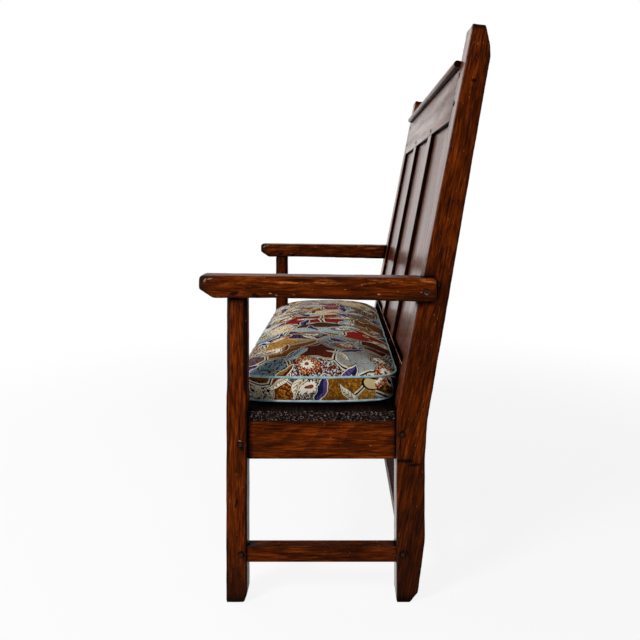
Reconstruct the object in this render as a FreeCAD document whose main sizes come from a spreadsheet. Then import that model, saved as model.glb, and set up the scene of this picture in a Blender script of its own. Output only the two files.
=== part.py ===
import FreeCAD, Part
import os
import re
import Sketcher
from FreeCAD import Placement, Rotation, Vector

# A joined oak settle: four posts, open arms, a boarded seat, a raked back of three
# panels held in grooves, and one loose boxed cushion.
#
# X runs along the bench, the front faces -Y, and +Z is up. The origin is on the floor
# below the middle of the bench. Depths in the sheet are measured backwards from the
# front face of the front posts, and heights from the floor. In the raked frame of the
# back, "rise" runs up the slope from the knee and "inward" runs square into the wood.

DIMENSIONS = {
    # Whole bench
    "bench_width": 1127,
    "centre_depth": 262.5,
    # Front posts
    "front_post_size": 46,
    "arm_underside": 672,
    "post_tenon_size": 24,
    "post_tenon_rise": 26,
    "chamfer_start": 452,
    "chamfer_full": 472,
    "chamfer_width": 9,
    "overrun": 1,
    "foot_wear_depth": 6,
    "foot_wear_height": 18,
    # Back posts
    "back_post_width": 69,
    "knee_depth": 375,
    "knee_height": 415,
    "rake_angle": 11.08,
    "back_leg_rear": 438,
    "back_flare_height": 315,
    "back_knee_depth": 444,
    "back_knee_height": 402,
    "back_reach": 583,
    "back_reach_height": 1205,
    "post_height": 1276,
    "top_bevel_height": 1260,
    "top_flat_depth": 543,
    "top_rear_depth": 573,
    "top_rear_height": 1272,
    "top_corner_depth": 582,
    "top_corner_height": 1229,
    "heel_depth": 405,
    "heel_wear_height": 22,
    "heel_wear_depth": 423,
    "heel_height": 132,
    # Arms
    "arm_reach": 58,
    "arm_outside": 15,
    "arm_inside": 50,
    "arm_rear": 463,
    "arm_top_front": 722,
    "arm_top_rear": 716,
    "arm_nose_height": 693,
    "arm_nose_depth": -27,
    "arm_droop_start": 120,
    "arm_rear_underside": 663,
    "arm_edge_radius": 6,
    "arm_end_radius": 7,
    # Seat rails and bearer
    "rail_top": 397,
    "rail_bottom": 312,
    "rail_thickness": 28,
    "rail_shoulder": 8,
    "tenon_thickness": 10,
    "side_rail_setback": 12,
    "side_tenon_front": 24,
    "side_tenon_back": 32,
    "front_rail_setback": 3,
    "front_rail_thickness": 25,
    "front_tenon_thickness": 9,
    "long_tenon": 30,
    "rear_rail_setback": 10,
    "bearer_width": 50,
    "bearer_height": 25,
    "bearer_housing": 8,
    # Seat boards
    "board_thickness": 22,
    "board_end_setback": 10,
    "board_front": 2,
    "board_joint_front": 124,
    "board_joint_rear": 250,
    "board_gap": 1,
    "board_rear": 411,
    # Stretchers
    "stretcher_bottom": 89,
    "stretcher_top": 123,
    "stretcher_thickness": 27,
    "stretcher_setback": 2,
    "stretcher_shoulder": 5,
    "stretcher_tenon": 28,
    "rear_stretcher_setback": 12,
    # Framed back, in its raked frame
    "back_thickness": 28,
    "back_tenon": 34,
    "back_tenon_start": 9,
    "top_rail_low": 668,
    "top_rail_high": 808,
    "lower_rail_low": 17,
    "lower_rail_high": 95,
    "back_shoulder": 13,
    "muntin_width": 63,
    "muntin_tenon": 25,
    "muntin_shoulder": 12,
    "groove_depth": 10,
    "groove_start": 10,
    "groove_width": 6,
    "panel_play": 1,
    "panel_field": 5,
    "panel_bevel": 28,
    # Moulding on the top rail
    "moulding_height": 17,
    "moulding_reach": 15,
    "moulding_radius": 8,
    # Pegs
    "peg_radius": 5,
    "peg_play": 0.05,
    "peg_proud": 1,
    "side_peg_length": 39,
    "stretcher_peg_length": 30,
    "side_peg_front_depth": 31,
    "side_peg_front_height": 348,
    "side_peg_back_depth": 388,
    "side_peg_back_height": 370,
    "stretcher_peg_front_depth": 33,
    "stretcher_peg_back_depth": 389,
    "front_peg_length": 20,
    "rear_peg_length": 38,
    "back_peg_length": 25,
    "back_peg_inset": 37,
    "arm_peg_radius": 4.5,
    "arm_peg_length": 38,
    "arm_peg_depth": 440,
    "arm_peg_height": 687,
    # Cushion
    "cushion_front": 11,
    "cushion_rear": 374,
    "cushion_end": 488,
    "cushion_corner": 40,
    "cushion_end_bow": 18,
    "cushion_side_bow": 2,
    "cushion_rest_gap": 0.4,
    "cushion_lower_seam": 425,
    "cushion_upper_seam": 480,
    "cushion_crown": 36,
    "cushion_crown_inset": 130,
    "cushion_swell": 3,
    "piping_radius": 4,
}

doc = FreeCAD.newDocument("SettleBench")
size = doc.addObject("Spreadsheet::Sheet", "Size")
for row, (alias, value) in enumerate(DIMENSIONS.items(), start=1):
    size.set(f"A{row}", alias)
    size.set(f"B{row}", str(value))
    size.setAlias(f"B{row}", alias)
doc.recompute()


# Small helpers

def bound(text):
    """Turn the sheet's names in an expression into references to its cells."""
    def reference(word):
        name = word.group()
        return f"Size.{name}" if name in DIMENSIONS else name
    return re.sub(r"[a-z_]+", reference, str(text))


def deep(depth):
    """The Y of a depth behind the front posts' front face."""
    return f"({depth}) - centre_depth"


def place(item, across, along, up):
    """Bind where an item stands."""
    item.setExpression("Placement.Base.x", bound(across))
    item.setExpression("Placement.Base.y", bound(along))
    item.setExpression("Placement.Base.z", bound(up))


def raked(across, inward, rise):
    """A point of the raked frame, as expressions in the bench's frame."""
    along = f"knee_depth - centre_depth + ({inward}) * cos(rake_angle) + ({rise}) * sin(rake_angle)"
    up = f"knee_height - ({inward}) * sin(rake_angle) + ({rise}) * cos(rake_angle)"
    return across, along, up


def lean(item, extra=0):
    """Tilt an item back with the rake, and by a fixed angle more."""
    item.Placement = Placement(Vector(), Rotation(Vector(1, 0, 0), -1))
    item.setExpression("Placement.Rotation.Angle", bound(f"-rake_angle - {extra}"))


def block(name, low, high):
    """A rectangular piece between two corners, each corner three expressions."""
    item = doc.addObject("Part::Box", name)
    place(item, *low)
    for dimension, start, end in zip(("Length", "Width", "Height"), low, high):
        item.setExpression(dimension, bound(f"({end}) - ({start})"))
    return item


def raked_block(name, low, high):
    """A rectangular piece between two corners of the raked frame."""
    item = doc.addObject("Part::Box", name)
    lean(item)
    place(item, *raked(*low))
    for dimension, start, end in zip(("Length", "Width", "Height"), low, high):
        item.setExpression(dimension, bound(f"({end}) - ({start})"))
    return item


def joined(name, *items):
    """One solid, or one group of tools, from several."""
    item = doc.addObject("Part::MultiFuse", name)
    item.Shapes = list(items)
    return item


def cut(name, base, *tools):
    """A piece with its mortises, grooves and peg holes taken out."""
    item = doc.addObject("Part::Cut", name)
    item.Base = base
    item.Tool = tools[0] if len(tools) == 1 else joined(f"{name}_cuts", *tools)
    return item


def twin(name, item):
    """The same piece for the other end of the bench."""
    other = doc.addObject("Part::Mirroring", name)
    other.Source = item
    other.Normal = Vector(1, 0, 0)
    return other


def body(name):
    return doc.addObject("PartDesign::Body", name)


def origin_plane(owner, role):
    return next(plane for plane in owner.Origin.OriginFeatures if plane.Role == role)


def outline(owner, name, plane, points, offset="0"):
    """A closed sketch of straight lines, every corner bound to the sheet."""
    sketch = owner.newObject("Sketcher::SketchObject", name)
    sketch.AttachmentSupport = [(origin_plane(owner, plane), "")]
    sketch.MapMode = "FlatFace"
    sketch.setExpression("AttachmentOffset.Base.z", bound(offset))
    count = len(points)
    turns = [Rotation(Vector(0, 0, 1), 360 * step / count) for step in range(count)]
    start = [turn.multVec(Vector(100, 0, 0)) for turn in turns]
    for step in range(count):
        sketch.addGeometry(Part.LineSegment(start[step], start[(step + 1) % count]), False)
    for step, (across, up) in enumerate(points):
        sketch.addConstraint(Sketcher.Constraint("Coincident", step, 2, (step + 1) % count, 1))
        sides = (("DistanceX", start[step].x, across), ("DistanceY", start[step].y, up))
        for kind, value, expression in sides:
            index = sketch.addConstraint(Sketcher.Constraint(kind, -1, 1, step, 1, value))
            sketch.setExpression(f"Constraints[{index}]", bound(expression))
    return sketch


def pad(owner, sketch, length):
    item = owner.newObject("PartDesign::Pad", f"{owner.Name}_pad")
    item.Profile = sketch
    item.setExpression("Length", bound(length))
    return item


def rounded(owner, base, radius, wanted):
    """Round the edges of a feature that the test picks."""
    doc.recompute()
    edges = [f"Edge{number}" for number, edge in enumerate(base.Shape.Edges, start=1) if wanted(edge)]
    item = owner.newObject("PartDesign::Fillet", f"{owner.Name}_rounding")
    item.Base = (base, edges)
    item.setExpression("Radius", bound(radius))
    return item


def runs_along(edge, axis):
    """Whether an edge is straight and parallel to an axis."""
    ends = [vertex.Point for vertex in edge.Vertexes]
    return len(ends) == 2 and abs((ends[1] - ends[0]).normalize().dot(axis)) > 0.999


# Pegs, whittled to flats. Each call gives the hole, which cuts every piece the peg goes
# through, and the peg.

PEG_FLATS = 8


def peg(name, start, length, turn, radius="peg_radius"):
    """A peg and its hole, from a point in the face of the wood, along a turned axis."""
    made = []
    for kind, play in (("hole", "peg_play"), ("pin", "0")):
        item = doc.addObject("Part::Prism", f"{name}_{kind}")
        item.Polygon = PEG_FLATS
        turn(item)
        place(item, *start)
        item.setExpression("Circumradius", bound(f"{radius} + {play}"))
        item.setExpression("Height", bound(length))
        made.append(item)
    return made


def inward_along_x(item):
    """From the outer face of the left end towards the middle."""
    item.Placement = Placement(Vector(), Rotation(Vector(0, 1, 0), -90))


def inward_along_y(item):
    """From a front face straight back."""
    item.Placement = Placement(Vector(), Rotation(Vector(1, 0, 0), -90))


def inward_along_rake(item):
    """From the raked front face square into the back."""
    lean(item, 90)


# Faces and middles that several pieces share

outer_face = "(bench_width / 2)"
back_inner_face = "(bench_width / 2 - back_post_width)"
front_inner_face = "(bench_width / 2 - front_post_size)"
rail_middle = "(rail_top + rail_bottom) / 2"
stretcher_middle = "(stretcher_top + stretcher_bottom) / 2"
panel_width = f"((2 * {back_inner_face} - 2 * muntin_width) / 3)"
muntin_inner = f"({panel_width} / 2)"
muntin_outer = f"({panel_width} / 2 + muntin_width)"
muntin_middle = f"({panel_width} / 2 + muntin_width / 2)"
groove_end = "(groove_start + groove_width)"
board_end = "(bench_width / 2 - board_end_setback)"
side_rail_outer = f"({outer_face} - side_rail_setback)"
stretcher_outer = f"({outer_face} - stretcher_setback)"

nodes = {}


# Pegs and their holes, for the left end

peg_face = f"{outer_face} + peg_proud"
front_peg_across = f"{front_inner_face} + long_tenon / 2"
rear_peg_across = f"{back_inner_face} + long_tenon / 2"
back_peg_across = f"{back_inner_face} + back_tenon / 2"
top_peg_high = "top_rail_high - back_peg_inset"
top_peg_low = "top_rail_low + back_peg_inset"
lower_peg = "(lower_rail_low + lower_rail_high) / 2"
muntin_peg_high = "top_rail_low + muntin_tenon / 2"
muntin_peg_low = "lower_rail_high - muntin_tenon / 2"

side_rail_front_hole, side_rail_front_peg = peg(
    "side_rail_front", (peg_face, deep("side_peg_front_depth"), "side_peg_front_height"),
    "side_peg_length", inward_along_x)
side_rail_back_hole, side_rail_back_peg = peg(
    "side_rail_back", (peg_face, deep("side_peg_back_depth"), "side_peg_back_height"),
    "side_peg_length", inward_along_x)
front_rail_hole, front_rail_peg = peg(
    "front_rail", (front_peg_across, deep("-peg_proud"), rail_middle),
    "front_peg_length", inward_along_y)
rear_rail_hole, rear_rail_peg = peg(
    "rear_rail", (rear_peg_across, deep("knee_depth - peg_proud"), rail_middle),
    "rear_peg_length", inward_along_y)
stretcher_front_hole, stretcher_front_peg = peg(
    "stretcher_front", (peg_face, deep("stretcher_peg_front_depth"), stretcher_middle),
    "stretcher_peg_length", inward_along_x)
stretcher_back_hole, stretcher_back_peg = peg(
    "stretcher_back", (peg_face, deep("stretcher_peg_back_depth"), stretcher_middle),
    "stretcher_peg_length", inward_along_x)
rear_stretcher_hole, rear_stretcher_peg = peg(
    "rear_stretcher", (rear_peg_across, deep("knee_depth - peg_proud"), stretcher_middle),
    "rear_peg_length", inward_along_y)
arm_lap_hole, arm_lap_peg = peg(
    "arm_lap", (f"{peg_face} + arm_outside", deep("arm_peg_depth"), "arm_peg_height"),
    "arm_peg_length", inward_along_x, "arm_peg_radius")
top_high_hole, top_high_peg = peg(
    "top_rail_high", raked(back_peg_across, "-peg_proud", top_peg_high),
    "back_peg_length", inward_along_rake)
top_low_hole, top_low_peg = peg(
    "top_rail_low", raked(back_peg_across, "-peg_proud", top_peg_low), "back_peg_length", inward_along_rake)
lower_hole, lower_rail_peg = peg(
    "lower_rail", raked(back_peg_across, "-peg_proud", lower_peg), "back_peg_length", inward_along_rake)
muntin_high_hole, muntin_high_peg = peg(
    "muntin_high", raked(muntin_middle, "-peg_proud", muntin_peg_high), "back_peg_length", inward_along_rake)
muntin_low_hole, muntin_low_peg = peg(
    "muntin_low", raked(muntin_middle, "-peg_proud", muntin_peg_low), "back_peg_length", inward_along_rake)

peg_groups = {
    "seat_frame_pegs": (side_rail_front_peg, side_rail_back_peg, front_rail_peg, rear_rail_peg),
    "stretcher_pegs": (stretcher_front_peg, stretcher_back_peg, rear_stretcher_peg),
    "arm_pegs": (arm_lap_peg,),
    "back_frame_pegs": (top_high_peg, top_low_peg, lower_rail_peg, muntin_high_peg, muntin_low_peg),
}
for group, pegs in peg_groups.items():
    others = [twin(f"{item.Name}_right", item) for item in pegs]
    nodes[group] = joined(group, *pegs, *others)


def both_ends(hole):
    """A hole and its twin at the other end."""
    return joined(f"{hole.Name}_pair", hole, twin(f"{hole.Name}_right", hole))


# Tenons. Each one is part of its own piece and cuts the mortise that it fills.

def middle_tenon(start, thickness, tenon="tenon_thickness"):
    """The two faces of a tenon in the middle of a rail's thickness."""
    return f"{start} + ({thickness} - {tenon}) / 2", f"{start} + ({thickness} + {tenon}) / 2"


side_tenon_inner, side_tenon_outer = middle_tenon(f"{side_rail_outer} - rail_thickness", "rail_thickness")
side_rail_tenon = block(
    "side_rail_tenon",
    (side_tenon_inner, deep("front_post_size - side_tenon_front"), "rail_bottom + rail_shoulder"),
    (side_tenon_outer, deep("knee_depth + side_tenon_back"), "rail_top - rail_shoulder"))
strut_inner, strut_outer = middle_tenon(f"{stretcher_outer} - stretcher_thickness", "stretcher_thickness")
side_stretcher_tenon = block(
    "side_stretcher_tenon",
    (strut_inner, deep("front_post_size - side_tenon_front"), "stretcher_bottom + stretcher_shoulder"),
    (strut_outer, deep("knee_depth + stretcher_tenon"), "stretcher_top - stretcher_shoulder"))
front_tenon_start, front_tenon_end = middle_tenon(
    "front_rail_setback", "front_rail_thickness", "front_tenon_thickness")
front_rail_tenon = block(
    "front_rail_tenon",
    (f"-{front_inner_face} - long_tenon", deep(front_tenon_start), "rail_bottom + rail_shoulder"),
    (f"{front_inner_face} + long_tenon", deep(front_tenon_end), "rail_top - rail_shoulder"))
rear_tenon_start, rear_tenon_end = middle_tenon("knee_depth + rear_rail_setback", "rail_thickness")
rear_rail_tenon = block(
    "rear_rail_tenon",
    (f"-{back_inner_face} - long_tenon", deep(rear_tenon_start), "rail_bottom + rail_shoulder"),
    (f"{back_inner_face} + long_tenon", deep(rear_tenon_end), "rail_top - rail_shoulder"))
rear_strut_start, rear_strut_end = middle_tenon("knee_depth + rear_stretcher_setback", "stretcher_thickness")
rear_stretcher_tenon = block(
    "rear_stretcher_tenon",
    (f"-{back_inner_face} - long_tenon", deep(rear_strut_start), "stretcher_bottom + stretcher_shoulder"),
    (f"{back_inner_face} + long_tenon", deep(rear_strut_end), "stretcher_top - stretcher_shoulder"))
post_tenon = block(
    "post_tenon",
    (f"{outer_face} - (front_post_size + post_tenon_size) / 2",
     deep("(front_post_size - post_tenon_size) / 2"), "arm_underside"),
    (f"{outer_face} - (front_post_size - post_tenon_size) / 2",
     deep("(front_post_size + post_tenon_size) / 2"), "arm_underside + post_tenon_rise"))


def back_tenon(name, low, high):
    """The long tenon of a back rail, into both back posts."""
    return raked_block(
        name,
        (f"-{back_inner_face} - back_tenon", "back_tenon_start", f"{low} + back_shoulder"),
        (f"{back_inner_face} + back_tenon", "back_tenon_start + tenon_thickness", f"{high} - back_shoulder"))


top_rail_tenon = back_tenon("top_rail_tenon", "top_rail_low", "top_rail_high")
lower_rail_tenon = back_tenon("lower_rail_tenon", "lower_rail_low", "lower_rail_high")
muntin_tenon = raked_block(
    "muntin_tenon",
    (f"{muntin_inner} + muntin_shoulder", "back_tenon_start", "lower_rail_high - muntin_tenon"),
    (f"{muntin_outer} - muntin_shoulder", "back_tenon_start + tenon_thickness",
     "top_rail_low + muntin_tenon"))


# Grooves that hold the panels, cut as one slot through everything round each panel

def panel_groove(name, start, end):
    return raked_block(
        name,
        (f"{start} - groove_depth", "groove_start", "lower_rail_high - groove_depth"),
        (f"{end} + groove_depth", groove_end, "top_rail_low + groove_depth"))


side_groove = panel_groove("side_groove", muntin_outer, back_inner_face)
centre_groove = panel_groove("centre_groove", f"-{muntin_inner}", muntin_inner)
all_grooves = joined("all_grooves", side_groove, centre_groove, twin("side_groove_right", side_groove))


# Posts

def front_post():
    """A square post with a worn heel, and edges chamfered between the seat and the arm."""
    owner = body("front_post")
    place(owner, f"{outer_face} - front_post_size / 2", deep("front_post_size / 2"), "0")
    half = "front_post_size / 2"
    side = outline(owner, "post_side", "YZ_Plane", [
        (f"-{half}", "0"),
        (f"{half} - foot_wear_depth", "0"),
        (half, "foot_wear_height"),
        (half, "arm_underside"),
        (f"-{half}", "arm_underside"),
    ], f"-{half}")
    pad(owner, side, "front_post_size")
    sections = []
    levels = (("chamfer_start", "0"), ("chamfer_full", "chamfer_width"), ("arm_underside", "chamfer_width"))
    for step, (level, width) in enumerate(levels):
        sections.append(outline(owner, f"chamfer_{step}", "XY_Plane", [
            (f"{half} + overrun", f"{half} + overrun"),
            (f"{half} - {width} - overrun", f"{half} + overrun"),
            (f"{half} + overrun", f"{half} - {width} - overrun"),
        ], level))
    chamfer = owner.newObject("PartDesign::SubtractiveLoft", "stopped_chamfer")
    chamfer.Profile = sections[0]
    chamfer.Sections = sections[1:]
    chamfer.Ruled = True
    doc.recompute()
    corners = owner.newObject("PartDesign::PolarPattern", "four_corners")
    corners.Originals = [chamfer]
    corners.Axis = (sections[0], ["N_Axis"])
    corners.Angle = 360
    corners.Occurrences = 4
    owner.Tip = corners
    return owner


def back_post():
    """A post that stands upright to the knee and leans back above it, tapering."""
    owner = body("back_post")
    rake = "(top_bevel_height - knee_height) * tan(rake_angle)"
    corners = [
        ("knee_depth", "0"),
        ("knee_depth", "knee_height"),
        (f"knee_depth + {rake}", "top_bevel_height"),
        ("top_flat_depth", "post_height"),
        ("top_rear_depth", "top_rear_height"),
        ("top_corner_depth", "top_corner_height"),
        ("back_reach", "back_reach_height"),
        ("back_knee_depth", "back_knee_height"),
        ("back_leg_rear", "back_flare_height"),
        ("back_leg_rear", "heel_height"),
        ("heel_wear_depth", "heel_wear_height"),
        ("heel_depth", "0"),
    ]
    corners = [(deep(depth), height) for depth, height in corners]
    side = outline(owner, "back_post_side", "YZ_Plane", corners, back_inner_face)
    pad(owner, side, "back_post_width")
    return owner


front_post_blank = front_post()
back_post_blank = back_post()
nodes["front_post_left"] = cut(
    "front_post_left", joined("front_post_tenoned", front_post_blank, post_tenon),
    side_rail_tenon, side_stretcher_tenon, front_rail_tenon,
    side_rail_front_hole, stretcher_front_hole, front_rail_hole)
nodes["back_post_left"] = cut(
    "back_post_left", back_post_blank,
    side_rail_tenon, side_stretcher_tenon, rear_rail_tenon, rear_stretcher_tenon,
    top_rail_tenon, lower_rail_tenon, side_groove,
    side_rail_back_hole, stretcher_back_hole, rear_rail_hole, rear_stretcher_hole,
    top_high_hole, top_low_hole, lower_hole, arm_lap_hole)


# Arms

def arm():
    """An open arm, bevelled under its nose and rounded on top, notched round the back post."""
    owner = body("arm")
    corners = [
        ("-arm_reach", "arm_nose_height"),
        ("arm_nose_depth", "arm_underside"),
        ("arm_droop_start", "arm_underside"),
        ("arm_rear", "arm_rear_underside"),
        ("arm_rear", "arm_top_rear"),
        ("-arm_reach", "arm_top_front"),
    ]
    corners = [(deep(depth), height) for depth, height in corners]
    side = outline(owner, "arm_side", "YZ_Plane", corners, f"{outer_face} - arm_inside")
    blank = pad(owner, side, "arm_inside + arm_outside")
    across = Vector(1, 0, 0)
    doc.recompute()
    box = blank.Shape.BoundBox
    middle = blank.Shape.CenterOfMass.z

    def at_an_end(edge):
        point = edge.CenterOfMass
        at_rear = abs(point.y - box.YMax) < 1
        at_front_top = abs(point.y - box.YMin) < 1 and point.z > middle + 10
        return runs_along(edge, across) and (at_rear or at_front_top)

    def along_the_top(edge):
        point = edge.CenterOfMass
        return point.z > middle + 10 and edge.Length > 100 and not runs_along(edge, across)

    ends = rounded(owner, blank, "arm_end_radius", at_an_end)
    rounded(owner, ends, "arm_edge_radius", along_the_top)
    return owner


nodes["arm_left"] = cut("arm_left", arm(), back_post_blank, post_tenon, arm_lap_hole)


# Seat frame

side_rail = block(
    "side_rail",
    (f"{side_rail_outer} - rail_thickness", deep("front_post_size"), "rail_bottom"),
    (side_rail_outer, deep("knee_depth"), "rail_top"))
nodes["side_seat_rail_left"] = cut(
    "side_seat_rail_left", joined("side_rail_tenoned", side_rail, side_rail_tenon),
    side_rail_front_hole, side_rail_back_hole)

bearer_start = "front_rail_setback + front_rail_thickness - bearer_housing"
bearer_end = "knee_depth + rear_rail_setback + bearer_housing"
bearer = block(
    "seat_bearer",
    ("-bearer_width / 2", deep(bearer_start), "rail_top - bearer_height"),
    ("bearer_width / 2", deep(bearer_end), "rail_top"))
nodes["seat_bearer"] = bearer

front_rail = block(
    "front_rail",
    (f"-{front_inner_face}", deep("front_rail_setback"), "rail_bottom"),
    (front_inner_face, deep("front_rail_setback + front_rail_thickness"), "rail_top"))
nodes["front_seat_rail"] = cut(
    "front_seat_rail", joined("front_rail_tenoned", front_rail, front_rail_tenon),
    bearer, both_ends(front_rail_hole))

rear_rail = block(
    "rear_rail",
    (f"-{back_inner_face}", deep("knee_depth + rear_rail_setback"), "rail_bottom"),
    (back_inner_face, deep("knee_depth + rear_rail_setback + rail_thickness"), "rail_top"))
nodes["rear_seat_rail"] = cut(
    "rear_seat_rail", joined("rear_rail_tenoned", rear_rail, rear_rail_tenon),
    bearer, both_ends(rear_rail_hole))


# Stretchers

side_stretcher = block(
    "side_stretcher",
    (f"{stretcher_outer} - stretcher_thickness", deep("front_post_size"), "stretcher_bottom"),
    (stretcher_outer, deep("knee_depth"), "stretcher_top"))
nodes["side_stretcher_left"] = cut(
    "side_stretcher_left", joined("side_stretcher_tenoned", side_stretcher, side_stretcher_tenon),
    stretcher_front_hole, stretcher_back_hole)

rear_stretcher = block(
    "rear_strut",
    (f"-{back_inner_face}", deep("knee_depth + rear_stretcher_setback"), "stretcher_bottom"),
    (back_inner_face, deep("knee_depth + rear_stretcher_setback + stretcher_thickness"), "stretcher_top"))
nodes["rear_stretcher"] = cut(
    "rear_stretcher", joined("rear_strut_tenoned", rear_stretcher, rear_stretcher_tenon),
    both_ends(rear_stretcher_hole))


# Seat boards, notched round the posts

def notched_board(name, wide_depths, narrow_face, narrow_depths):
    """A board that is full length over one span of depths and shorter between posts over another."""
    owner = body(name)
    near, far = (deep(depth) for depth in wide_depths)
    start, end = (deep(depth) for depth in narrow_depths)
    half = [(board_end, near), (board_end, far), (narrow_face, start), (narrow_face, end)]
    corners = half + [(f"-({across})", along) for across, along in reversed(half)]
    plan = outline(owner, f"{name}_plan", "XY_Plane", corners, "rail_top")
    pad(owner, plan, "board_thickness")
    return owner


nodes["seat_board_front"] = notched_board(
    "seat_board_front", ("board_joint_front", "front_post_size"),
    front_inner_face, ("front_post_size", "board_front"))
nodes["seat_board_middle"] = block(
    "seat_board_middle",
    (f"-{board_end}", deep("board_joint_front + board_gap"), "rail_top"),
    (board_end, deep("board_joint_rear"), "rail_top + board_thickness"))
nodes["seat_board_rear"] = notched_board(
    "seat_board_rear", ("board_joint_rear + board_gap", "knee_depth"),
    back_inner_face, ("knee_depth", "board_rear"))


# Framed back

def back_rail(name, low, high, tenon, *holes):
    """A rail of the back, grooved for the panels and mortised for the muntins."""
    blank = raked_block(
        f"{name}_blank",
        (f"-{back_inner_face}", "0", low),
        (back_inner_face, "back_thickness", high))
    other_mortise = twin(f"{name}_mortise_right", muntin_tenon)
    pairs = [both_ends(hole) for hole in holes]
    tenoned = joined(f"{name}_tenoned", blank, tenon)
    return cut(name, tenoned, all_grooves, muntin_tenon, other_mortise, *pairs)


nodes["top_rail"] = back_rail(
    "top_rail", "top_rail_low", "top_rail_high", top_rail_tenon,
    top_high_hole, top_low_hole, muntin_high_hole)
nodes["lower_back_rail"] = back_rail(
    "lower_back_rail", "lower_rail_low", "lower_rail_high", lower_rail_tenon, lower_hole, muntin_low_hole)

muntin = raked_block(
    "muntin",
    (muntin_inner, "0", "lower_rail_high"),
    (muntin_outer, "back_thickness", "top_rail_low"))
nodes["muntin_left"] = cut(
    "muntin_left", joined("muntin_tenoned", muntin, muntin_tenon), all_grooves,
    muntin_high_hole, muntin_low_hole)


def panel(name, start, end):
    """A panel, flat in front and bevelled behind to a thin edge that sits in the grooves."""
    owner = body(name)
    lean(owner)
    place(owner, *raked("0", "0", "0"))

    def rectangle(label, grow, inward):
        low = f"lower_rail_high - ({grow})"
        high = f"top_rail_low + ({grow})"
        left = f"{start} - ({grow})"
        right = f"{end} + ({grow})"
        corners = [(left, low), (right, low), (right, high), (left, high)]
        return outline(owner, f"{name}_{label}", "XZ_Plane", corners, f"-({inward})")

    edge = pad(owner, rectangle("edge", "groove_depth - panel_play", "groove_start"), "groove_width")
    edge.Reversed = True
    field = owner.newObject("PartDesign::AdditiveLoft", f"{name}_field")
    field.Profile = rectangle("shoulder", "-panel_play", groove_end)
    field.Sections = [rectangle("raised", "-panel_bevel", f"{groove_end} + panel_field")]
    field.Ruled = True
    owner.Tip = field
    return owner


nodes["back_panel_left"] = panel("back_panel_left", muntin_outer, back_inner_face)
nodes["back_panel_centre"] = panel("back_panel_centre", f"-{muntin_inner}", muntin_inner)


def moulding():
    """A round-nosed strip along the top front edge of the top rail, between the posts."""
    owner = body("top_moulding")
    lean(owner)
    place(owner, *raked("0", "0", "0"))
    low = "top_rail_high - moulding_height"
    high = "top_rail_high"
    corners = [("-moulding_reach", low), ("0", low), ("0", high), ("-moulding_reach", high)]
    section = outline(owner, "moulding_section", "YZ_Plane", corners, f"-{back_inner_face}")
    strip = pad(owner, section, f"2 * {back_inner_face}")
    doc.recompute()
    front = min(edge.CenterOfMass.y for edge in strip.Shape.Edges)
    rounded(owner, strip, "moulding_radius",
            lambda edge: runs_along(edge, Vector(1, 0, 0)) and edge.CenterOfMass.y < front + 1)
    return owner


nodes["top_moulding"] = moulding()


# The right-hand twins

for name in [name for name in nodes if name.endswith("_left")]:
    right = name.replace("_left", "_right")
    nodes[right] = twin(right, nodes[name])


# Cushion

CORNER_SHRINK = 0.12
BOW_FADE = 0.7
CROWN_STEPS = 6


def cushion_plan(inset, height):
    """The cushion's outline at one height: bowed ends and sides between rounded corners."""
    reach = size.cushion_end - inset
    depth = (size.cushion_rear - size.cushion_front) / 2 - inset
    corner = size.cushion_corner - inset * CORNER_SHRINK
    bow = size.cushion_end_bow * (1 - BOW_FADE * inset / size.cushion_crown_inset)
    swell = size.cushion_side_bow
    diagonal = corner * (1 - 0.5 ** 0.5)

    def quarter(right, back):
        """One corner arc, from the end of the cushion round to its long side."""
        end = Vector(right * reach, back * (depth - corner), height)
        middle = Vector(right * (reach - diagonal), back * (depth - diagonal), height)
        side = Vector(right * (reach - corner), back * depth, height)
        return [end, middle, side]

    arcs = []
    corners = [quarter(1, 1), quarter(-1, 1)[::-1], quarter(-1, -1), quarter(1, -1)[::-1]]
    bows = [Vector(0, depth + swell, height), Vector(-reach - bow, 0, height),
            Vector(0, -depth - swell, height), Vector(reach + bow, 0, height)]
    for step, points in enumerate(corners):
        arcs.append(Part.Arc(*points).toShape())
        following = corners[(step + 1) % 4]
        arcs.append(Part.Arc(points[2], bows[step], following[0]).toShape())
    return Part.Wire(arcs)


def cushion():
    """A boxed cushion: flat underneath, piped at two seams, swollen boxing, crowned top."""
    rest = size.rail_top + size.board_thickness + size.cushion_rest_gap
    lower = size.cushion_lower_seam
    upper = size.cushion_upper_seam
    cord = size.piping_radius
    levels = [
        (3 * cord, rest),
        (cord, lower - cord / 2),
        (0, lower),
        (cord, lower + cord),
        (-size.cushion_swell, (lower + upper) / 2),
        (cord, upper - cord),
        (0, upper),
        (cord, upper + cord / 2),
    ]
    for step in range(1, CROWN_STEPS + 1):
        part = step / CROWN_STEPS
        inset = cord + (size.cushion_crown_inset - cord) * part ** 1.4
        slope = (1 - inset / size.cushion_crown_inset) ** 2.6
        rise = cord / 2 + (size.cushion_crown - cord / 2) * (1 - slope)
        levels.append((inset, upper + rise))
    item = doc.addObject("Part::Feature", "seat_cushion")
    item.Shape = Part.makeLoft([cushion_plan(inset, height) for inset, height in levels], True, True)
    middle = (size.cushion_front + size.cushion_rear) / 2 - size.centre_depth
    item.Placement = Placement(Vector(0, middle, 0), Rotation())
    return item


nodes["seat_cushion"] = cushion()


# Check everything, then write one file for each piece

doc.recompute()
for item in doc.Objects:
    if "Invalid" in item.State or "Error" in item.State:
        raise RuntimeError(f"{item.Name} could not be built: {item.State}")

os.makedirs("parts", exist_ok=True)
for name, item in sorted(nodes.items()):
    item.Label = name
    shape = item.Shape
    if shape.isNull() or not shape.isValid() or not shape.Solids:
        raise RuntimeError(f"{name} has no valid solid")
    shape.exportStep(f"parts/{name}.step")
    print(f"{name}: {len(shape.Solids)} solid(s), {shape.Volume / 1e3:.0f} cm3")
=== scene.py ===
import math

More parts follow.
